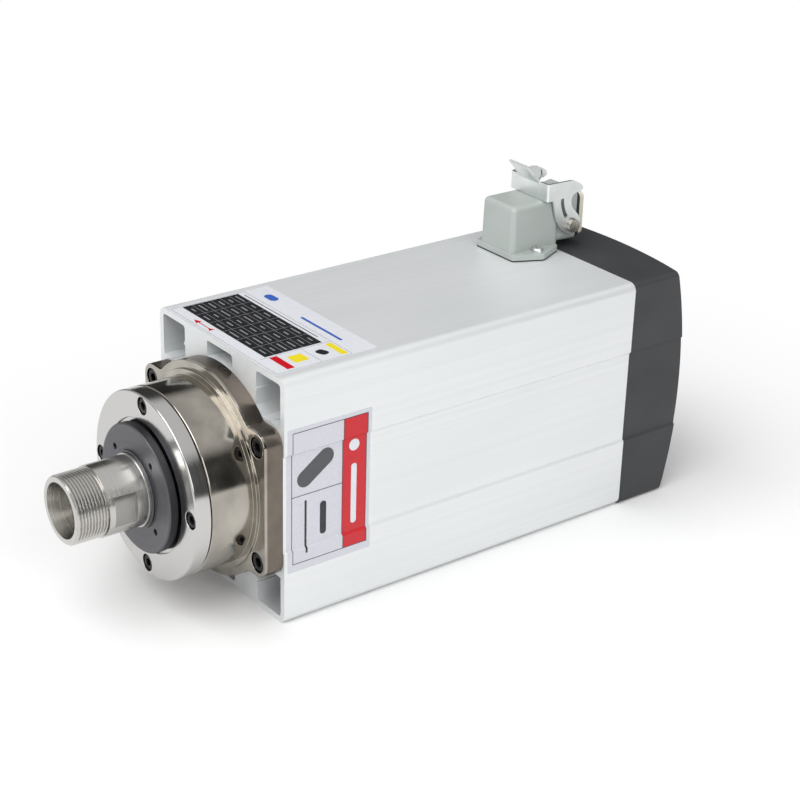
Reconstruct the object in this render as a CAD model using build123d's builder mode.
"""Air-cooled motor spindle with a collet nose, a square finned body and a lever-locked power socket.

The frame has its origin at the centre of the nose face. The spindle axis is Y, with the tool
leaving toward -Y. Z is up, and the flat base of the body lies at z = -body_height / 2.
All lengths are millimetres.
"""
import math
import os

from build123d import *

# Nose, counted along the axis from its end face
nose_radius = 16.0
thread_length = 15.2
shank_radius = 16.5
flat_front_y = 18.0
flat_rear_y = 29.0
flat_across = 29.7
shank_end_y = 34.5
collet_mouth_radius = 12.85
collet_half_angle = 8.0
collet_taper_depth = 28.0
collet_relief_radius = 8.5
collet_relief_depth = 54.0

# Front bearings and the journals of the shaft
nut_thread_radius = 17.0
front_journal_radius = 17.5
front_seat_radius = 31.0
front_bearing_width = 14.0
front_spacer_length = 8.0
front_ball_radius = 4.0
front_bearing_setback = 17.5
front_bearing_y = shank_end_y + front_bearing_setback
front_bearings_end_y = front_bearing_y + 2 * front_bearing_width + front_spacer_length
front_pitch_radius = (front_journal_radius + front_seat_radius) / 2
shoulder_step = 3.5
shoulder_radius = front_journal_radius + shoulder_step
shoulder_length = 8.0
shoulder_end_y = front_bearings_end_y + shoulder_length

# Dust nut on the shaft
nut_radius = 30.0
nut_thickness = 4.3
nut_edge_chamfer = 0.6
nut_clearance = 0.05
nut_boss_height = 1.1
nut_boss_wall = 1.1
nut_boss_radius = nut_thread_radius + nut_boss_wall
nut_sleeve_wall = 4.0
nut_sleeve_radius = nut_thread_radius + nut_sleeve_wall
nut_setback = 2.2
nut_front_y = shank_end_y + nut_setback
nut_rear_y = nut_front_y + nut_thickness
pin_hole_radius = 1.5
pin_hole_inset = 1.95
pin_hole_circle = (nut_boss_radius + nut_radius) / 2 - pin_hole_inset
pin_hole_depth = 2.6
pin_hole_angle = 50.0

# Body extrusion, built up outward from the stator's bore
stator_bore_radius = 45.0
tube_wall = 5.4
side_margin = 1.1
slot_height = 6.8
top_wall = 2.8
side_wall = 3.0
body_edge_radius = 4.0
body_length = 204.0
tube_radius = stator_bore_radius + tube_wall
half_width = tube_radius + side_margin
half_height = tube_radius + slot_height + top_wall
slot_half_width = 10.5
web_width = 19.0
web_x = slot_half_width + web_width / 2
channel_corner_radius = 1.8
band_half_height = 23.3
band_depth = 1.0
chase_rib_width = 1.2
chase_rib_height = 1.0

# Front flange: cylinder, step ring and lobed plate in one piece
flange_inset = 1.0
flange_radius = stator_bore_radius - flange_inset
flange_length = 31.9
flange_edge_chamfer = 0.5
step_ring_height = 2.8
step_ring_radius = flange_radius + step_ring_height
step_ring_thickness = 1.6
plate_overhang = 0.1
plate_radius = tube_radius + plate_overhang
plate_thickness = 9.5
spigot_length = 14.5
spigot_clearance = 0.05
lip_width = 3.0
lobe_corner_radius = 7.0
lobe_blend_radius = 4.0
lobe_margin = 7.2
cap_gap = 0.6
cap_thickness = 7.5
cap_setback = 0.5
cap_front_y = nut_rear_y + cap_setback
cap_rear_y = cap_front_y + cap_thickness
flange_front_y = cap_rear_y + cap_gap
body_front_y = flange_front_y + flange_length
body_rear_y = body_front_y + body_length
plate_front_y = body_front_y - plate_thickness
step_ring_y = plate_front_y - step_ring_thickness
spigot_end_y = body_front_y + spigot_length

# Bearing cap
cap_bore_gap = 0.5
cap_bore_radius = nut_sleeve_radius + cap_bore_gap
cap_recess_gap = 1.5
cap_recess_radius = nut_radius + cap_recess_gap
cap_recess_depth = 1.5
cap_spigot_length = front_bearing_y - cap_rear_y

# Socket-head screws of the flange and of the bearing cap
flange_screw_radius = 2.5
flange_screw_length = 16.0
flange_head_radius = 4.25
flange_head_height = 5.0
flange_head_recess = 0.6
flange_screw_overhang = 1.8
flange_screw_circle = plate_radius + flange_screw_overhang
flange_screw_angle = 32.75
flange_screw_x = flange_screw_circle * math.cos(math.radians(flange_screw_angle))
flange_screw_z = flange_screw_circle * math.sin(math.radians(flange_screw_angle))
flange_head_y = plate_front_y + flange_head_recess
flange_seat_y = flange_head_y + flange_head_height
lobe_half_height = flange_screw_z + lobe_margin
cap_screw_radius = 2.0
cap_screw_length = 12.0
cap_head_radius = 3.5
cap_head_height = 4.0
cap_head_recess = 0.6
cap_screw_inset = 5.0
cap_screw_circle = flange_radius - cap_screw_inset
cap_head_y = cap_front_y + cap_head_recess
cap_seat_y = cap_head_y + cap_head_height
counterbore_gap = 0.55
screw_hole_gap = 0.25
socket_depth_share = 0.5
socket_width_share = 0.5

# Air channels and the tapped holes of the base
channel_inner_x = slot_half_width + web_width
channel_margin = 1.5
channel_inner_z = lobe_half_height + channel_margin
channel_outer_x = half_width - side_wall
channel_outer_z = half_height - top_wall
chase_rib_inset_x = 11.2
chase_rib_x = channel_inner_x + chase_rib_inset_x
chase_rib_inset_z = 11.5
chase_rib_z = channel_inner_z + chase_rib_inset_z
base_hole_radius = 3.4
base_hole_depth = 14.0
base_hole_inset = 32.0
base_hole_centre_y = (body_front_y + body_rear_y) / 2
base_hole_spacing_y = body_length - 2 * base_hole_inset

# Rear bearings, bracket, spring and locknut
rear_journal_radius = 12.5
rear_seat_radius = 23.5
rear_bearing_width = 12.0
rear_ball_radius = 3.3
rear_bearing_depth = 23.5
rear_bearing_y = body_rear_y - rear_bearing_depth
rear_bearings_end_y = rear_bearing_y + 2 * rear_bearing_width
rear_pitch_radius = (rear_journal_radius + rear_seat_radius) / 2
rear_shoulder_step = 2.5
rear_shoulder_radius = rear_journal_radius + rear_shoulder_step
spring_length = 2.5
spring_gap = 0.5
spring_width = 3.5
spring_end_y = rear_bearings_end_y + spring_length
bracket_hub_wall = 6.5
bracket_hub_radius = rear_seat_radius + bracket_hub_wall
bracket_hub_lead = 2.0
bracket_hub_front_y = rear_bearing_y - bracket_hub_lead
bracket_web_depth = 8.5
bracket_web_y = body_rear_y - bracket_web_depth
bracket_flange_thickness = 4.0
bracket_flange_end_y = body_rear_y + bracket_flange_thickness
bracket_flange_inset = 2.8
bracket_flange_half_width = tube_radius - bracket_flange_inset
bracket_lip_width = 5.5
bracket_lip_thickness = 2.0
bracket_hub_end_y = spring_end_y + bracket_lip_thickness
bracket_screw_circle = (stator_bore_radius + tube_radius) / 2
bracket_screw_radius = 1.5
bracket_screw_length = 12.0
bracket_screw_head_radius = 2.75
bracket_screw_head_height = 2.0
bracket_screw_angles = (60, 120, 240, 300)
locknut_thread_step = 0.5
locknut_thread_radius = rear_journal_radius - locknut_thread_step
locknut_rim = 1.0
bracket_lip_radius = rear_seat_radius - bracket_lip_width
locknut_radius = (locknut_thread_radius + bracket_lip_radius) / 2 + locknut_rim
locknut_length = 7.0
locknut_clearance = 0.05
locknut_slot_depth = 1.6
locknut_slot_width = 4.0
locknut_end_y = rear_bearings_end_y + locknut_length

# Ball tracks
ball_clearance = 0.05
race_shoulder_share = 0.55

# Motor core
core_seat_radius = 19.0
rotor_radius = 24.5
air_gap = 0.5
core_end_gap = 26.0
core_start_y = shoulder_end_y + core_end_gap
core_rear_extra = 4.0
core_end_y = rear_bearing_y - core_end_gap - core_rear_extra
core_length = core_end_y - core_start_y
core_seat_overrun = 8.0
core_seat_end_y = core_end_y + core_seat_overrun
stator_inner_radius = rotor_radius + air_gap
stator_slot_count = 24
stator_slot_width = 4.2
stator_tooth_tip = 3.5
stator_slot_inner = stator_inner_radius + stator_tooth_tip
stator_back_iron = 4.5
stator_slot_outer = stator_bore_radius - stator_back_iron
slot_liner = 0.1
end_turn_length = 21.0
end_turn_spread_in = 1.0
end_turn_inner = stator_slot_inner - end_turn_spread_in
end_turn_spread_out = 1.5
end_turn_outer = stator_slot_outer + end_turn_spread_out
rotor_bar_count = 16
rotor_bar_width = 3.0
rotor_bar_root = 1.3
rotor_bar_inner = core_seat_radius + rotor_bar_root
rotor_bar_cover = 0.7
rotor_bar_outer = rotor_radius - rotor_bar_cover
end_ring_length = 5.0

# Cooling fan, its clip and the shaft's rear end
fan_seat_radius = 8.5
fan_setback = 9.0
fan_front_y = body_rear_y + fan_setback
fan_plate_thickness = 2.5
fan_blade_length = 13.0
fan_tip_inset = 2.0
fan_radius = stator_bore_radius - fan_tip_inset
fan_hub_wall = 3.5
fan_hub_radius = fan_seat_radius + fan_hub_wall
fan_hub_length = 17.5
fan_blade_count = 9
fan_blade_thickness = 1.8
fan_blade_bow = 5.0
fan_hub_end_y = fan_front_y + fan_hub_length
clip_thickness = 1.2
clip_width = 2.5
clip_radius = fan_seat_radius + clip_width
clip_groove_depth = 0.6
clip_gap_angle = 50.0
shaft_overrun = 4.0
shaft_end_y = fan_hub_end_y + shaft_overrun

# Fan cover
cover_depth = 42.0
cover_crown_radius = 240.0
cover_wall = 2.2
cover_edge_radius = 2.5
cover_end_y = body_rear_y + cover_depth
crown_centre_y = cover_end_y - cover_crown_radius
cover_screw_inset = 7.0
cover_screw_z = half_height - cover_screw_inset
cover_post_radius = 5.6
cover_screw_radius = 2.0
cover_head_radius = 3.6
cover_head_height = 3.0
cover_head_depth = 15.5
cover_head_y = cover_end_y - cover_head_depth
cover_screw_reach = 10.0
grille_inset = 3.0
grille_radius = fan_radius - grille_inset
grille_slot_width = 3.4
grille_rows = 9
grille_end_rows = 1.5
grille_pitch = 2 * grille_radius / (grille_rows + grille_end_rows)

# Power socket: gasket, foot plate and angled housing
socket_x = -18.5
socket_setback = 16.4
socket_y = body_rear_y - socket_setback
gasket_thickness = 0.6
foot_thickness = 2.8
foot_half_length = 21.0
foot_flat_half = 14.2
foot_half_width = 14.8
foot_corner_radius = 2.0
foot_low_z = half_height + gasket_thickness
foot_high_z = foot_low_z + foot_thickness
socket_screw_offset = 15.8
socket_screw_radius = 1.5
socket_screw_length = 8.0
socket_screw_head_radius = 2.8
socket_screw_head_height = 2.1
block_half_width = 12.6
block_front_reach = 14.2
block_front_y = socket_y - block_front_reach
block_rear_reach = 16.6
block_rear_y = socket_y + block_rear_reach
block_height = 23.6
block_draft = 1.5
block_corner_radius = 3.0
block_top_radius = 2.6
neck_root = 9.7
neck_start_y = block_rear_y - neck_root
neck_length = 11.8
neck_end_y = block_rear_y + neck_length
neck_width = 23.2
neck_height = 26.4
neck_centre_height = 12.6
neck_centre_z = foot_high_z + neck_centre_height
neck_start_width = 21.2
neck_start_height = 22.6
neck_start_centre_height = 11.4
neck_start_centre_z = foot_high_z + neck_start_centre_height
neck_corner_radius = 3.4
lead_hole_radius = 6.0
lead_passage_gap = 1.5
lead_hole_offset = 6.1
lead_hole_y = socket_y - lead_hole_offset

# Insert with its contacts, and the mouth seal
insert_width = 20.0
insert_height = 22.2
insert_depth = 20.0
insert_floor_depth = 10.0
insert_wall = 1.5
insert_corner_radius = 2.5
insert_gap = 0.2
insert_centre_height = 11.7
insert_centre_z = foot_high_z + insert_centre_height
insert_projection = 6.0
insert_end_y = neck_end_y + insert_projection
insert_start_y = insert_end_y - insert_depth
insert_floor_y = insert_end_y - insert_floor_depth
chamber_front_wall = 3.5
chamber_front_y = block_front_y + chamber_front_wall
chamber_step_x = 1.6
chamber_width = insert_width - chamber_step_x
chamber_step_z = 2.0
chamber_height = insert_height - chamber_step_z
chamber_centre_height = 11.4
chamber_centre_z = foot_high_z + chamber_centre_height
contact_radius = 1.25
contact_ring_radius = 6.2
contact_count = 6
contact_tail = 3.0
contact_recess = 4.5
seal_thickness = 2.6
seal_margin = 1.0

# Locking lever: its outline is measured from the pivot, rearward and up
lever_sheet = 1.2
lever_play = 0.1
lever_hole_clearance = 0.05
pivot_inset = 5.0
pivot_y = neck_end_y - pivot_inset
pivot_drop = 3.7
pivot_z = neck_centre_z - pivot_drop
pivot_boss_radius = 4.6
pivot_boss_height = 1.4
pivot_boss_end = neck_width / 2 + pivot_boss_height
rivet_radius = 2.0
rivet_head_radius = 3.4
rivet_head_height = 2.2
band_reach = -17.4
band_bend_reach = -13.6
band_low = 14.9
band_high = 23.9
eye_bottom = (-1.0, -4.7)
eye_corner = (3.7, -3.2)
eye_rear = (5.4, 1.6)
arm_front_edge = [(-13.2, 14.2), (-11.0, 5.9), (-6.8, -1.3), eye_bottom]
hook_inner_edge = [eye_rear, (2.2, 6.4), (-1.0, 10.6), (-0.8, 15.2), (3.4, 16.7)]
hook_outer_edge = [(3.4, 16.7), (6.0, 18.6), (2.6, 21.9), (-3.0, 23.6)]
slot_ends = [(-7.4, 14.2), (-6.6, 9.9), (-4.5, 5.6)]
slot_width = 2.1
band_corner_radius = 1.1
tab_base_width = 17.0
tab_hollow = 0.9
tab_tip_width = 13.4
tab_tip_reach = -26.1
tab_tip_rise = 33.7
tongue_width = 11.0
tongue_lean = 4.4
tongue_height = 5.8
tongue_corner_radius = 4.6
lever_inner = pivot_boss_end + lever_play
lever_outer = lever_inner + lever_sheet
rivet_head_start = lever_outer + lever_play


def across(station):
    """Plane square to the spindle axis, with local x along X and local y along Z."""
    return Plane(origin=(0, station, 0), x_dir=(1, 0, 0), z_dir=(0, -1, 0))


def turned(points):
    """Closed outline of (radius, station) points, ready to be turned about the spindle axis."""
    with BuildSketch(Plane.XY) as outline:
        with BuildLine():
            Polyline(*points, close=True)
        make_face()
    return outline.sketch


def screw_outline(shank_radius_, head_radius_, head_start, seat, tip):
    """Outline of a headed screw whose axis is the spindle axis: head first, then the shank."""
    return turned(
        [
            (0, head_start),
            (head_radius_, head_start),
            (head_radius_, seat),
            (shank_radius_, seat),
            (shank_radius_, tip),
            (0, tip),
        ]
    )


def banded_section(half_x, half_z, corner_radius, band_x, band_z):
    """Rounded rectangle whose two sides are stepped in over a middle band."""
    slope = 2 * (half_x - band_x)
    with BuildSketch() as section:
        RectangleRounded(2 * half_x, 2 * half_z, corner_radius)
        for side in (-1, 1):
            with BuildLine():
                Polyline(
                    (side * (band_x + slope), band_z + slope),
                    (side * band_x, band_z),
                    (side * band_x, -band_z),
                    (side * (band_x + slope), -band_z - slope),
                    close=True,
                )
            make_face(mode=Mode.SUBTRACT)
    return section.sketch


# ---------------------------------------------------------------------------
# Body: aluminium extrusion with a central tube, four corner channels, two slots
# ---------------------------------------------------------------------------
body_section = banded_section(
    half_width, half_height, body_edge_radius, half_width - band_depth, band_half_height
)

with BuildSketch() as air_channels:
    for sx in (-1, 1):
        for sz in (-1, 1):
            with Locations(
                (
                    sx * (channel_inner_x + channel_outer_x) / 2,
                    sz * (channel_inner_z + channel_outer_z) / 2,
                )
            ):
                Rectangle(channel_outer_x - channel_inner_x, channel_outer_z - channel_inner_z)
            with Locations((sx * (channel_inner_x + chase_rib_height / 2), sz * chase_rib_z)):
                Rectangle(chase_rib_height, chase_rib_width, mode=Mode.SUBTRACT)
            with Locations((sx * chase_rib_x, sz * (channel_inner_z + chase_rib_height / 2))):
                Rectangle(chase_rib_width, chase_rib_height, mode=Mode.SUBTRACT)
    for sz in (-1, 1):
        with Locations((0, sz * channel_outer_z / 2)):
            Rectangle(2 * slot_half_width, channel_outer_z)
    Circle(tube_radius, mode=Mode.SUBTRACT)
    outer_corners = [
        corner for corner in air_channels.vertices() if abs(corner.Y) > channel_outer_z - 0.1
    ]
    fillet(outer_corners, channel_corner_radius)

with BuildPart() as housing_extrusion:
    with BuildSketch(across(body_rear_y)):
        add(body_section)
        Circle(stator_bore_radius, mode=Mode.SUBTRACT)
    extrude(amount=body_length)
    with BuildSketch(across(body_rear_y)):
        add(air_channels.sketch)
    extrude(amount=body_length, mode=Mode.SUBTRACT)
    with Locations((0, base_hole_centre_y, -half_height)):
        with GridLocations(2 * web_x, base_hole_spacing_y, 2, 2):
            Cylinder(
                base_hole_radius,
                base_hole_depth,
                align=(Align.CENTER, Align.CENTER, Align.MIN),
                mode=Mode.SUBTRACT,
            )
    with Locations((socket_x, lead_hole_y, half_height)):
        Cylinder(
            lead_hole_radius,
            half_height - stator_inner_radius,
            align=(Align.CENTER, Align.CENTER, Align.MAX),
            mode=Mode.SUBTRACT,
        )
    with Locations((socket_x, socket_y, half_height)):
        with GridLocations(2 * socket_screw_offset, 0, 2, 1):
            Cylinder(
                socket_screw_radius,
                socket_screw_length,
                align=(Align.CENTER, Align.CENTER, Align.MAX),
                mode=Mode.SUBTRACT,
            )
    with BuildSketch(across(body_front_y + flange_screw_length)):
        with GridLocations(2 * flange_screw_x, 2 * flange_screw_z, 2, 2):
            Circle(flange_screw_radius)
    extrude(amount=flange_screw_length, mode=Mode.SUBTRACT)
    with BuildSketch(across(body_rear_y)):
        with GridLocations(2 * web_x, 2 * cover_screw_z, 2, 2):
            Circle(cover_screw_radius)
    extrude(amount=cover_screw_reach, mode=Mode.SUBTRACT)
    with BuildSketch(across(body_rear_y)):
        for angle in bracket_screw_angles:
            with Locations(
                (
                    bracket_screw_circle * math.cos(math.radians(angle)),
                    bracket_screw_circle * math.sin(math.radians(angle)),
                )
            ):
                Circle(bracket_screw_radius)
    extrude(amount=bracket_screw_length, mode=Mode.SUBTRACT)

# ---------------------------------------------------------------------------
# Front flange: lobed plate and bearing housing in one piece
# ---------------------------------------------------------------------------
with BuildPart() as front_flange:
    with BuildSketch(across(body_front_y)):
        Circle(plate_radius)
        RectangleRounded(2 * plate_radius, 2 * lobe_half_height, lobe_corner_radius)
    extrude(amount=body_front_y - plate_front_y)
    blend_edges = [
        edge
        for edge in front_flange.edges().filter_by(Axis.Y)
        if abs(abs(edge.center().Z) - lobe_half_height) < 0.1
        and abs(edge.center().X) < plate_radius - 2 * lobe_corner_radius
    ]
    fillet(blend_edges, lobe_blend_radius)
    revolve(
        turned(
            [
                (0, flange_front_y),
                (flange_radius - flange_edge_chamfer, flange_front_y),
                (flange_radius, flange_front_y + flange_edge_chamfer),
                (flange_radius, step_ring_y),
                (step_ring_radius, step_ring_y),
                (step_ring_radius, body_front_y),
                (stator_bore_radius - spigot_clearance, body_front_y),
                (stator_bore_radius - spigot_clearance, spigot_end_y),
                (0, spigot_end_y),
            ]
        ),
        axis=Axis.Y,
    )
    revolve(
        turned(
            [
                (0, flange_front_y - 1),
                (front_seat_radius, flange_front_y - 1),
                (front_seat_radius, front_bearings_end_y),
                (front_seat_radius - lip_width, front_bearings_end_y),
                (front_seat_radius - lip_width, spigot_end_y + 1),
                (0, spigot_end_y + 1),
            ]
        ),
        axis=Axis.Y,
        mode=Mode.SUBTRACT,
    )
    with BuildSketch(across(flange_seat_y)):
        with GridLocations(2 * flange_screw_x, 2 * flange_screw_z, 2, 2):
            Circle(flange_head_radius + counterbore_gap)
    extrude(amount=flange_seat_y - plate_front_y, mode=Mode.SUBTRACT)
    with BuildSketch(across(body_front_y)):
        with GridLocations(2 * flange_screw_x, 2 * flange_screw_z, 2, 2):
            Circle(flange_screw_radius + screw_hole_gap)
    extrude(amount=body_front_y - plate_front_y, mode=Mode.SUBTRACT)
    with BuildSketch(across(cap_seat_y + cap_screw_length)):
        with PolarLocations(cap_screw_circle, 4):
            Circle(cap_screw_radius)
    extrude(amount=cap_seat_y + cap_screw_length - flange_front_y, mode=Mode.SUBTRACT)

with BuildPart() as flange_screws:
    for sx in (-1, 1):
        for sz in (-1, 1):
            with Locations((sx * flange_screw_x, 0, sz * flange_screw_z)):
                add(
                    revolve(
                        screw_outline(
                            flange_screw_radius,
                            flange_head_radius,
                            flange_head_y,
                            flange_seat_y,
                            flange_seat_y + flange_screw_length,
                        ),
                        axis=Axis.Y,
                        mode=Mode.PRIVATE,
                    )
                )
    with BuildSketch(across(flange_head_y + flange_head_height * socket_depth_share)):
        with GridLocations(2 * flange_screw_x, 2 * flange_screw_z, 2, 2):
            RegularPolygon(flange_head_radius * socket_width_share, 6, major_radius=False)
    extrude(amount=flange_head_height * socket_depth_share, mode=Mode.SUBTRACT)

# ---------------------------------------------------------------------------
# Front bearing cap and its screws
# ---------------------------------------------------------------------------
with BuildPart() as front_bearing_cap:
    revolve(
        turned(
            [
                (cap_bore_radius, cap_front_y + cap_recess_depth),
                (cap_recess_radius, cap_front_y + cap_recess_depth),
                (cap_recess_radius, cap_front_y),
                (flange_radius - flange_edge_chamfer, cap_front_y),
                (flange_radius, cap_front_y + flange_edge_chamfer),
                (flange_radius, cap_rear_y),
                (front_seat_radius - spigot_clearance, cap_rear_y),
                (front_seat_radius - spigot_clearance, cap_rear_y + cap_spigot_length),
                (cap_bore_radius, cap_rear_y + cap_spigot_length),
            ]
        ),
        axis=Axis.Y,
    )
    with BuildSketch(across(cap_seat_y)):
        with PolarLocations(cap_screw_circle, 4):
            Circle(cap_head_radius + counterbore_gap)
    extrude(amount=cap_seat_y - cap_front_y, mode=Mode.SUBTRACT)
    with BuildSketch(across(cap_rear_y)):
        with PolarLocations(cap_screw_circle, 4):
            Circle(cap_screw_radius + screw_hole_gap)
    extrude(amount=cap_rear_y - cap_front_y, mode=Mode.SUBTRACT)

with BuildPart() as cap_screws:
    for quarter in range(4):
        angle = math.radians(90 * quarter)
        with Locations((cap_screw_circle * math.cos(angle), 0, cap_screw_circle * math.sin(angle))):
            add(
                revolve(
                    screw_outline(
                        cap_screw_radius,
                        cap_head_radius,
                        cap_head_y,
                        cap_seat_y,
                        cap_seat_y + cap_screw_length,
                    ),
                    axis=Axis.Y,
                    mode=Mode.PRIVATE,
                )
            )
    with BuildSketch(across(cap_head_y + cap_head_height * socket_depth_share)):
        with PolarLocations(cap_screw_circle, 4):
            RegularPolygon(cap_head_radius * socket_width_share, 6, major_radius=False)
    extrude(amount=cap_head_height * socket_depth_share, mode=Mode.SUBTRACT)

# ---------------------------------------------------------------------------
# Shaft with its collet socket, and the dust nut that clamps the front bearings
# ---------------------------------------------------------------------------
taper_end_radius = collet_mouth_radius - collet_taper_depth * math.tan(
    math.radians(collet_half_angle)
)
drill_cone = collet_relief_radius * 0.5

with BuildPart() as shaft:
    revolve(
        turned(
            [
                (collet_mouth_radius, 0),
                (nose_radius, 0),
                (nose_radius, thread_length),
                (shank_radius, thread_length),
                (shank_radius, shank_end_y),
                (nut_thread_radius, shank_end_y),
                (nut_thread_radius, front_bearing_y),
                (front_journal_radius, front_bearing_y),
                (front_journal_radius, front_bearings_end_y),
                (shoulder_radius, front_bearings_end_y),
                (shoulder_radius, shoulder_end_y),
                (core_seat_radius, shoulder_end_y),
                (core_seat_radius, core_seat_end_y),
                (rear_shoulder_radius, core_seat_end_y),
                (rear_shoulder_radius, rear_bearing_y),
                (rear_journal_radius, rear_bearing_y),
                (rear_journal_radius, rear_bearings_end_y),
                (locknut_thread_radius, rear_bearings_end_y),
                (locknut_thread_radius, locknut_end_y),
                (fan_seat_radius, locknut_end_y),
                (fan_seat_radius, fan_hub_end_y),
                (fan_seat_radius - clip_groove_depth, fan_hub_end_y),
                (fan_seat_radius - clip_groove_depth, fan_hub_end_y + clip_thickness),
                (fan_seat_radius, fan_hub_end_y + clip_thickness),
                (fan_seat_radius, shaft_end_y),
                (0, shaft_end_y),
                (0, collet_relief_depth + drill_cone),
                (collet_relief_radius, collet_relief_depth),
                (collet_relief_radius, collet_taper_depth),
                (taper_end_radius, collet_taper_depth),
            ]
        ),
        axis=Axis.Y,
    )
    with Locations((0, (flat_front_y + flat_rear_y) / 2, 0)):
        with GridLocations(flat_across + shank_radius, 0, 2, 1):
            Box(
                shank_radius,
                flat_rear_y - flat_front_y,
                2 * shank_radius,
                mode=Mode.SUBTRACT,
            )

with BuildPart() as dust_nut:
    revolve(
        turned(
            [
                (nut_thread_radius + nut_clearance, nut_front_y - nut_boss_height),
                (nut_boss_radius, nut_front_y - nut_boss_height),
                (nut_boss_radius, nut_front_y),
                (nut_radius - nut_edge_chamfer, nut_front_y),
                (nut_radius, nut_front_y + nut_edge_chamfer),
                (nut_radius, nut_rear_y),
                (nut_sleeve_radius, nut_rear_y),
                (nut_sleeve_radius, front_bearing_y),
                (nut_thread_radius + nut_clearance, front_bearing_y),
            ]
        ),
        axis=Axis.Y,
    )
    with BuildSketch(across(nut_front_y + pin_hole_depth)):
        with PolarLocations(pin_hole_circle, 4, start_angle=pin_hole_angle):
            Circle(pin_hole_radius)
    extrude(amount=pin_hole_depth, mode=Mode.SUBTRACT)


# ---------------------------------------------------------------------------
# Ball bearings: two rings and, between them, the set of balls in its cage
# ---------------------------------------------------------------------------
def flat_ring(bore, rim, start, width):
    """Ring about the spindle axis with flat end faces."""
    with BuildPart() as ring:
        with BuildSketch(across(start + width)):
            Circle(rim)
            Circle(bore, mode=Mode.SUBTRACT)
        extrude(amount=width)
    return ring


def outer_ring(seat, pitch, ball, start, width):
    """Bearing ring that stands still in its seat."""
    return flat_ring(pitch + ball * race_shoulder_share, seat, start, width)


def inner_ring(journal, pitch, ball, start, width):
    """Bearing ring that turns with the shaft."""
    return flat_ring(journal, pitch - ball * race_shoulder_share, start, width)


def ball_set(pitch, ball, start, width):
    """Room that the balls and their cage sweep, as one ring that runs between the races."""
    half_depth = ball * race_shoulder_share - ball_clearance
    return flat_ring(pitch - half_depth, pitch + half_depth, start + width / 2 - ball, 2 * ball)


second_front_y = front_bearing_y + front_bearing_width + front_spacer_length
second_rear_y = rear_bearing_y + rear_bearing_width
bearings = {
    "front_bearing_a": (
        front_seat_radius,
        front_journal_radius,
        front_pitch_radius,
        front_ball_radius,
        front_bearing_y,
        front_bearing_width,
    ),
    "front_bearing_b": (
        front_seat_radius,
        front_journal_radius,
        front_pitch_radius,
        front_ball_radius,
        second_front_y,
        front_bearing_width,
    ),
    "rear_bearing_a": (
        rear_seat_radius,
        rear_journal_radius,
        rear_pitch_radius,
        rear_ball_radius,
        rear_bearing_y,
        rear_bearing_width,
    ),
    "rear_bearing_b": (
        rear_seat_radius,
        rear_journal_radius,
        rear_pitch_radius,
        rear_ball_radius,
        second_rear_y,
        rear_bearing_width,
    ),
}
bearing_pieces = {}
for bearing, (seat, journal, pitch, ball, start, width) in bearings.items():
    bearing_pieces[f"{bearing}_outer_ring"] = outer_ring(seat, pitch, ball, start, width)
    bearing_pieces[f"{bearing}_inner_ring"] = inner_ring(journal, pitch, ball, start, width)
    bearing_pieces[f"{bearing}_balls"] = ball_set(pitch, ball, start, width)

front_shoulder_outer = front_pitch_radius + front_ball_radius * race_shoulder_share
front_shoulder_inner = front_pitch_radius - front_ball_radius * race_shoulder_share
spacer_y = front_bearing_y + front_bearing_width

outer_spacer = flat_ring(front_shoulder_outer, front_seat_radius, spacer_y, front_spacer_length)
inner_spacer = flat_ring(front_journal_radius, front_shoulder_inner, spacer_y, front_spacer_length)

# ---------------------------------------------------------------------------
# Stator, winding and rotor
# ---------------------------------------------------------------------------
slot_depth = stator_slot_outer - stator_slot_inner
slot_middle = (stator_slot_outer + stator_slot_inner) / 2

with BuildPart() as stator_core:
    with BuildSketch(across(core_end_y)):
        Circle(stator_bore_radius)
        Circle(stator_inner_radius, mode=Mode.SUBTRACT)
        with PolarLocations(slot_middle, stator_slot_count):
            Rectangle(slot_depth, stator_slot_width, mode=Mode.SUBTRACT)
    extrude(amount=core_length)

with BuildPart() as stator_winding:
    with BuildSketch(across(core_end_y)):
        with PolarLocations(slot_middle, stator_slot_count):
            Rectangle(slot_depth - 2 * slot_liner, stator_slot_width - 2 * slot_liner)
    extrude(amount=core_length)
    for start in (core_start_y - end_turn_length, core_end_y):
        with BuildSketch(across(start + end_turn_length)):
            Circle(end_turn_outer)
            Circle(end_turn_inner, mode=Mode.SUBTRACT)
        extrude(amount=end_turn_length)

bar_depth = rotor_bar_outer - rotor_bar_inner
bar_middle = (rotor_bar_outer + rotor_bar_inner) / 2

with BuildPart() as rotor_core:
    with BuildSketch(across(core_end_y)):
        Circle(rotor_radius)
        Circle(core_seat_radius, mode=Mode.SUBTRACT)
        with PolarLocations(bar_middle, rotor_bar_count):
            Rectangle(bar_depth, rotor_bar_width, mode=Mode.SUBTRACT)
    extrude(amount=core_length)

with BuildPart() as rotor_cage:
    with BuildSketch(across(core_end_y)):
        with PolarLocations(bar_middle, rotor_bar_count):
            Rectangle(bar_depth, rotor_bar_width)
    extrude(amount=core_length)
    for start in (core_start_y - end_ring_length, core_end_y):
        with BuildSketch(across(start + end_ring_length)):
            Circle(rotor_bar_outer)
            Circle(core_seat_radius, mode=Mode.SUBTRACT)
        extrude(amount=end_ring_length)

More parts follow.
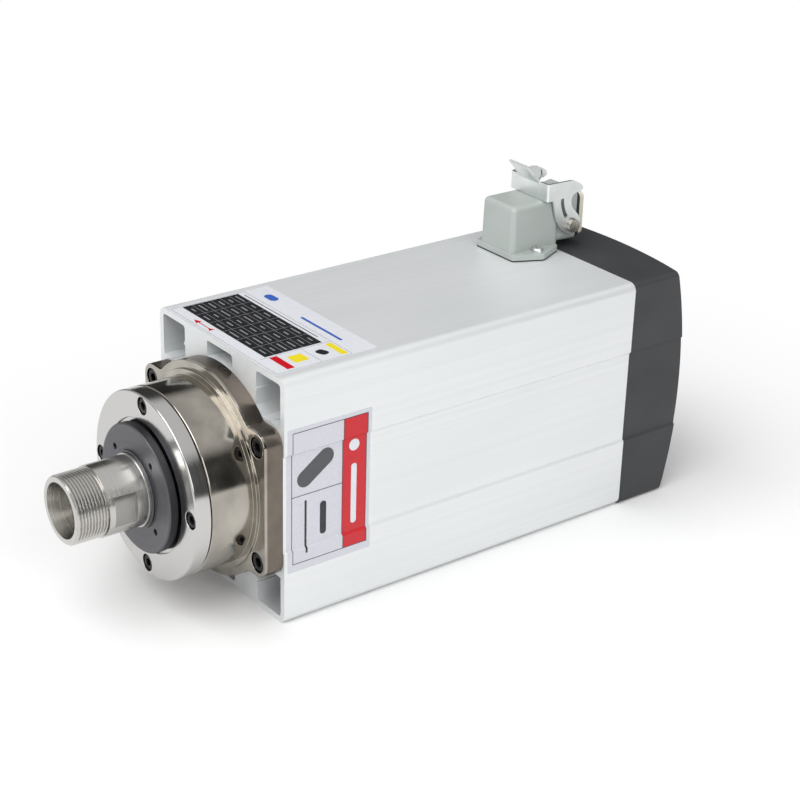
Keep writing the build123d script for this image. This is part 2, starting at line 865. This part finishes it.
# ---------------------------------------------------------------------------
# Rear bracket, preload spring and locknut
# ---------------------------------------------------------------------------
with BuildPart() as rear_bracket:
    revolve(
        turned(
            [
                (rear_seat_radius, bracket_hub_front_y),
                (bracket_hub_radius, bracket_hub_front_y),
                (bracket_hub_radius, bracket_web_y),
                (stator_bore_radius - spigot_clearance, bracket_web_y),
                (stator_bore_radius - spigot_clearance, body_rear_y),
                (tube_radius, body_rear_y),
                (tube_radius, bracket_flange_end_y),
                (bracket_hub_radius, bracket_flange_end_y),
                (bracket_hub_radius, bracket_hub_end_y),
                (bracket_lip_radius, bracket_hub_end_y),
                (bracket_lip_radius, spring_end_y),
                (rear_seat_radius, spring_end_y),
            ]
        ),
        axis=Axis.Y,
    )
    with Locations((0, (body_rear_y + bracket_flange_end_y) / 2, 0)):
        with GridLocations(2 * bracket_flange_half_width + tube_radius, 0, 2, 1):
            Box(tube_radius, bracket_flange_thickness, 2 * tube_radius, mode=Mode.SUBTRACT)
    with BuildSketch(across(bracket_flange_end_y)):
        for angle in bracket_screw_angles:
            with Locations(
                (
                    bracket_screw_circle * math.cos(math.radians(angle)),
                    bracket_screw_circle * math.sin(math.radians(angle)),
                )
            ):
                Circle(bracket_screw_radius)
    extrude(amount=bracket_flange_thickness, mode=Mode.SUBTRACT)

with BuildPart() as bracket_screws:
    for angle in bracket_screw_angles:
        with Locations(
            (
                bracket_screw_circle * math.cos(math.radians(angle)),
                0,
                bracket_screw_circle * math.sin(math.radians(angle)),
            )
        ):
            add(
                revolve(
                    screw_outline(
                        bracket_screw_radius,
                        bracket_screw_head_radius,
                        bracket_flange_end_y + bracket_screw_head_height,
                        bracket_flange_end_y,
                        body_rear_y - bracket_screw_length,
                    ),
                    axis=Axis.Y,
                    mode=Mode.PRIVATE,
                )
            )

spring_outer_radius = rear_seat_radius - spring_gap
preload_spring = flat_ring(
    spring_outer_radius - spring_width, spring_outer_radius, rear_bearings_end_y, spring_length
)

with BuildPart() as bearing_locknut:
    with BuildSketch(across(locknut_end_y)):
        Circle(locknut_radius)
        Circle(locknut_thread_radius + locknut_clearance, mode=Mode.SUBTRACT)
        with PolarLocations(locknut_radius, 4):
            Rectangle(2 * locknut_slot_depth, locknut_slot_width, mode=Mode.SUBTRACT)
    extrude(amount=locknut_length)

# ---------------------------------------------------------------------------
# Cooling fan and retaining clip
# ---------------------------------------------------------------------------
with BuildPart() as cooling_fan:
    with BuildSketch(across(fan_front_y + fan_plate_thickness)):
        Circle(fan_radius)
    extrude(amount=fan_plate_thickness)
    with BuildSketch(across(fan_hub_end_y)):
        Circle(fan_hub_radius)
    extrude(amount=fan_hub_length)
    with BuildSketch(across(fan_front_y + fan_plate_thickness + fan_blade_length)):
        with PolarLocations(0, fan_blade_count):
            with BuildLine():
                blade_inner = fan_hub_radius - 1.0
                blade_outer = fan_radius - 1.0
                blade_half = fan_blade_thickness / 2
                blade_middle = (blade_inner + blade_outer) / 2
                ThreePointArc(
                    (blade_inner, -blade_half),
                    (blade_middle, fan_blade_bow - blade_half),
                    (blade_outer, -blade_half),
                )
                Line((blade_outer, -blade_half), (blade_outer, blade_half))
                ThreePointArc(
                    (blade_outer, blade_half),
                    (blade_middle, fan_blade_bow + blade_half),
                    (blade_inner, blade_half),
                )
                Line((blade_inner, blade_half), (blade_inner, -blade_half))
            make_face()
    extrude(amount=fan_blade_length)
    with BuildSketch(across(fan_hub_end_y)):
        Circle(fan_seat_radius)
    extrude(amount=fan_hub_length, mode=Mode.SUBTRACT)

with BuildPart() as fan_clip:
    with BuildSketch(across(fan_hub_end_y + clip_thickness)):
        Circle(clip_radius)
        Circle(fan_seat_radius - clip_groove_depth, mode=Mode.SUBTRACT)
        with BuildLine():
            reach = 2 * clip_radius
            half_gap = math.radians(clip_gap_angle / 2)
            Polyline(
                (0, 0),
                (reach * math.sin(half_gap), reach * math.cos(half_gap)),
                (-reach * math.sin(half_gap), reach * math.cos(half_gap)),
                close=True,
            )
        make_face(mode=Mode.SUBTRACT)
    extrude(amount=clip_thickness)

# ---------------------------------------------------------------------------
# Fan cover: crowned cap with an intake grille, and its screws
# ---------------------------------------------------------------------------
grille_span = (grille_rows - 1) / 2 * grille_pitch

with BuildPart() as cover_core:
    with BuildSketch(across(cover_end_y)):
        add(
            banded_section(
                half_width - cover_wall,
                half_height - cover_wall,
                cover_edge_radius,
                half_width - band_depth - cover_wall,
                band_half_height + cover_wall,
            )
        )
    extrude(amount=cover_depth)
    with Locations((0, crown_centre_y, 0)):
        Sphere(cover_crown_radius - cover_wall, mode=Mode.INTERSECT)
    with BuildSketch(across(cover_end_y)):
        with GridLocations(2 * web_x, 2 * cover_screw_z, 2, 2):
            Circle(cover_post_radius)
    extrude(amount=cover_depth, mode=Mode.SUBTRACT)

with BuildPart() as fan_cover:
    with BuildSketch(across(cover_end_y)):
        add(
            banded_section(
                half_width,
                half_height,
                cover_edge_radius,
                half_width - band_depth,
                band_half_height,
            )
        )
    extrude(amount=cover_depth)
    with Locations((0, crown_centre_y, 0)):
        Sphere(cover_crown_radius, mode=Mode.INTERSECT)
    add(cover_core.part, mode=Mode.SUBTRACT)
    with BuildSketch(across(cover_end_y)):
        with GridLocations(2 * web_x, 2 * cover_screw_z, 2, 2):
            Circle(cover_head_radius + counterbore_gap)
    extrude(amount=cover_end_y - cover_head_y, mode=Mode.SUBTRACT)
    with BuildSketch(across(cover_end_y)):
        with GridLocations(2 * web_x, 2 * cover_screw_z, 2, 2):
            Circle(cover_screw_radius + screw_hole_gap)
    extrude(amount=cover_depth, mode=Mode.SUBTRACT)
    with BuildSketch(across(cover_end_y)):
        for row in range(grille_rows):
            height = row * grille_pitch - grille_span
            chord = 2 * math.sqrt(grille_radius**2 - height**2)
            with Locations((0, height)):
                SlotOverall(chord, grille_slot_width)
    extrude(amount=3 * cover_wall, mode=Mode.SUBTRACT)

with BuildPart() as fan_cover_screws:
    for sx in (-1, 1):
        for sz in (-1, 1):
            with Locations((sx * web_x, 0, sz * cover_screw_z)):
                add(
                    revolve(
                        screw_outline(
                            cover_screw_radius,
                            cover_head_radius,
                            cover_head_y + cover_head_height,
                            cover_head_y,
                            body_rear_y - cover_screw_reach,
                        ),
                        axis=Axis.Y,
                        mode=Mode.PRIVATE,
                    )
                )

# ---------------------------------------------------------------------------
# Power socket: gasket, angled housing, insert, contacts, seal and screws
# ---------------------------------------------------------------------------
foot_points = [
    (-foot_flat_half, -foot_half_width),
    (foot_flat_half, -foot_half_width),
    (foot_half_length, 0),
    (foot_flat_half, foot_half_width),
    (-foot_flat_half, foot_half_width),
    (-foot_half_length, 0),
]
lead_passage_radius = lead_hole_radius + lead_passage_gap

with BuildSketch() as foot_outline:
    with BuildLine():
        Polyline(*foot_points, close=True)
    make_face()
    fillet(foot_outline.vertices(), foot_corner_radius)
    with GridLocations(2 * socket_screw_offset, 0, 2, 1):
        Circle(socket_screw_radius, mode=Mode.SUBTRACT)
    with Locations((0, lead_hole_y - socket_y)):
        Circle(lead_passage_radius, mode=Mode.SUBTRACT)

with BuildPart() as socket_gasket:
    with BuildSketch(Plane.XY.offset(half_height)):
        with Locations((socket_x, socket_y)):
            add(foot_outline.sketch)
    extrude(amount=gasket_thickness)

with BuildPart() as socket_housing:
    with BuildSketch(Plane.XY.offset(foot_high_z)):
        with Locations((socket_x, (block_front_y + block_rear_y) / 2)):
            RectangleRounded(
                2 * block_half_width, block_rear_y - block_front_y, block_corner_radius
            )
    extrude(amount=block_height, taper=block_draft)
    fillet(socket_housing.faces().sort_by(Axis.Z)[-1].edges(), block_top_radius)
    with BuildSketch(across(neck_start_y)):
        with Locations((socket_x, neck_start_centre_z)):
            RectangleRounded(neck_start_width, neck_start_height, neck_corner_radius)
    with BuildSketch(across(neck_end_y)):
        with Locations((socket_x, neck_centre_z)):
            RectangleRounded(neck_width, neck_height, neck_corner_radius)
    loft()
    for side in (-1, 1):
        with BuildSketch(Plane.YZ.offset(socket_x + side * pivot_boss_end)):
            with Locations((pivot_y, pivot_z)):
                Circle(pivot_boss_radius)
        extrude(amount=-side * (pivot_boss_end - insert_width / 2))
    with BuildSketch(Plane.XY.offset(foot_low_z)):
        with Locations((socket_x, socket_y)):
            add(foot_outline.sketch)
    extrude(amount=foot_thickness)
    with BuildSketch(across(neck_end_y)):
        with Locations((socket_x, insert_centre_z)):
            RectangleRounded(
                insert_width + 2 * insert_gap,
                insert_height + 2 * insert_gap,
                insert_corner_radius + insert_gap,
            )
    extrude(amount=neck_end_y - insert_start_y, mode=Mode.SUBTRACT)
    with BuildSketch(across(insert_start_y)):
        with Locations((socket_x, chamber_centre_z)):
            RectangleRounded(chamber_width, chamber_height, insert_corner_radius)
    extrude(amount=insert_start_y - chamber_front_y, mode=Mode.SUBTRACT)
    with Locations((socket_x, lead_hole_y, foot_low_z)):
        Cylinder(
            lead_hole_radius,
            chamber_centre_z - foot_low_z,
            align=(Align.CENTER, Align.CENTER, Align.MIN),
            mode=Mode.SUBTRACT,
        )
    with BuildSketch(Plane.YZ.offset(socket_x - 2 * pivot_boss_end)):
        with Locations((pivot_y, pivot_z)):
            Circle(rivet_radius)
    extrude(amount=4 * pivot_boss_end, mode=Mode.SUBTRACT)

with BuildPart() as socket_insert:
    with BuildSketch(across(insert_end_y)):
        with Locations((socket_x, insert_centre_z)):
            RectangleRounded(insert_width, insert_height, insert_corner_radius)
    extrude(amount=insert_depth)
    with BuildSketch(across(insert_end_y)):
        with Locations((socket_x, insert_centre_z)):
            RectangleRounded(
                insert_width - 2 * insert_wall,
                insert_height - 2 * insert_wall,
                insert_corner_radius - insert_wall / 2,
            )
    extrude(amount=insert_floor_depth, mode=Mode.SUBTRACT)
    with BuildSketch(across(insert_floor_y)):
        with Locations((socket_x, insert_centre_z)):
            Circle(contact_radius)
            with PolarLocations(contact_ring_radius, contact_count):
                Circle(contact_radius)
    extrude(amount=insert_floor_y - insert_start_y, mode=Mode.SUBTRACT)

contact_end_y = insert_end_y - contact_recess
with BuildPart() as contact_pins:
    with BuildSketch(across(contact_end_y)):
        with Locations((socket_x, insert_centre_z)):
            Circle(contact_radius)
            with PolarLocations(contact_ring_radius, contact_count):
                Circle(contact_radius)
    extrude(amount=contact_end_y - insert_start_y + contact_tail)

with BuildPart() as socket_seal:
    with BuildSketch(across(neck_end_y + seal_thickness)):
        with Locations((socket_x, insert_centre_z)):
            RectangleRounded(
                insert_width + 2 * seal_margin,
                insert_height + 2 * seal_margin,
                insert_corner_radius + seal_margin,
            )
            RectangleRounded(
                insert_width, insert_height, insert_corner_radius, mode=Mode.SUBTRACT
            )
    extrude(amount=seal_thickness)

with BuildPart() as socket_screws:
    for side in (-1, 1):
        with Locations((socket_x + side * socket_screw_offset, socket_y, foot_high_z)):
            Cylinder(
                socket_screw_head_radius,
                socket_screw_head_height,
                align=(Align.CENTER, Align.CENTER, Align.MIN),
            )
            Cylinder(
                socket_screw_radius,
                socket_screw_length,
                align=(Align.CENTER, Align.CENTER, Align.MAX),
            )

# ---------------------------------------------------------------------------
# Locking lever: sheet-steel bail with hooked side plates, and its rivets
# ---------------------------------------------------------------------------
def beside_pivot(x):
    """Plane square to X with its origin at the pivot: local x rearward, local y up."""
    return Plane(origin=(x, pivot_y, pivot_z), x_dir=(0, 1, 0), z_dir=(1, 0, 0))


with BuildPart() as locking_lever:
    for side in (-1, 1):
        with BuildSketch(beside_pivot(socket_x + side * lever_inner)):
            with BuildLine():
                Spline(*arm_front_edge)
                ThreePointArc(eye_bottom, eye_corner, eye_rear)
                Spline(*hook_inner_edge)
                Spline(*hook_outer_edge)
                Polyline(
                    hook_outer_edge[-1],
                    (band_bend_reach, band_high),
                    (band_reach, band_high),
                    (band_reach, band_low),
                    (band_bend_reach, band_low),
                    arm_front_edge[0],
                )
            make_face()
            with BuildLine(mode=Mode.PRIVATE) as slot_path:
                ThreePointArc(*slot_ends)
            SlotArc(slot_path.edges()[0], slot_width, mode=Mode.SUBTRACT)
            Circle(rivet_radius + lever_hole_clearance, mode=Mode.SUBTRACT)
        extrude(amount=side * lever_sheet)
    with Locations((socket_x, pivot_y + band_reach, pivot_z + (band_low + band_high) / 2)):
        Box(
            2 * lever_outer,
            lever_sheet,
            band_high - band_low,
            align=(Align.CENTER, Align.MIN, Align.CENTER),
        )
    fillet(locking_lever.edges().filter_by(Axis.Z).sort_by(Axis.Y)[:2], band_corner_radius)
    tab_rise = tab_tip_rise - band_high
    tab_run = tab_tip_reach - band_reach
    tab_length = math.hypot(tab_rise, tab_run)
    tab_plane = Plane(
        origin=(
            socket_x,
            pivot_y + band_reach + lever_sheet,
            pivot_z + band_high - lever_sheet / 2,
        ),
        x_dir=(1, 0, 0),
        z_dir=(0, -tab_rise, tab_run),
    )
    with BuildSketch(tab_plane):
        with BuildLine():
            for side in (-1, 1):
                ThreePointArc(
                    (side * tab_base_width / 2, 0),
                    (side * ((tab_base_width + tab_tip_width) / 4 - tab_hollow), tab_length / 2),
                    (side * tab_tip_width / 2, tab_length),
                )
            Line((-tab_base_width / 2, 0), (tab_base_width / 2, 0))
            Line((-tab_tip_width / 2, tab_length), (tab_tip_width / 2, tab_length))
        make_face()
    extrude(amount=lever_sheet)
    tongue_length = math.hypot(tongue_lean, tongue_height)
    tongue_plane = Plane(
        origin=(
            socket_x,
            pivot_y + band_reach,
            pivot_z + band_high - lever_sheet / 2,
        ),
        x_dir=(1, 0, 0),
        z_dir=(0, -tongue_height, tongue_lean),
    )
    with BuildSketch(tongue_plane) as tongue:
        with BuildLine():
            Polyline(
                (-tongue_width / 2, 0),
                (-tongue_width / 2, tongue_length),
                (tongue_width / 2, tongue_length),
                (tongue_width / 2, 0),
                close=True,
            )
        make_face()
        fillet(tongue.vertices().sort_by(Axis.Y)[-2:], tongue_corner_radius)
    extrude(amount=-lever_sheet)

with BuildPart() as lever_rivets:
    for side in (-1, 1):
        with BuildSketch(beside_pivot(socket_x + side * (rivet_head_start + rivet_head_height))):
            Circle(rivet_head_radius)
        extrude(amount=-side * rivet_head_height)
        with BuildSketch(beside_pivot(socket_x + side * rivet_head_start)):
            Circle(rivet_radius)
        extrude(amount=-side * (rivet_head_start - insert_width / 2 - insert_gap))

# ---------------------------------------------------------------------------
# One file per piece
# ---------------------------------------------------------------------------
pieces = {
    "housing_extrusion": housing_extrusion,
    "front_flange": front_flange,
    "flange_screws": flange_screws,
    "front_bearing_cap": front_bearing_cap,
    "cap_screws": cap_screws,
    "shaft": shaft,
    "dust_nut": dust_nut,
    **bearing_pieces,
    "outer_spacer": outer_spacer,
    "inner_spacer": inner_spacer,
    "stator_core": stator_core,
    "stator_winding": stator_winding,
    "rotor_core": rotor_core,
    "rotor_cage": rotor_cage,
    "rear_bracket": rear_bracket,
    "bracket_screws": bracket_screws,
    "preload_spring": preload_spring,
    "bearing_locknut": bearing_locknut,
    "cooling_fan": cooling_fan,
    "fan_clip": fan_clip,
    "fan_cover": fan_cover,
    "fan_cover_screws": fan_cover_screws,
    "socket_gasket": socket_gasket,
    "socket_housing": socket_housing,
    "socket_insert": socket_insert,
    "contact_pins": contact_pins,
    "socket_seal": socket_seal,
    "socket_screws": socket_screws,
    "locking_lever": locking_lever,
    "lever_rivets": lever_rivets,
}
os.makedirs("parts", exist_ok=True)
for name, piece in pieces.items():
    piece.part.label = name
    export_step(piece.part, f"parts/{name}.step")
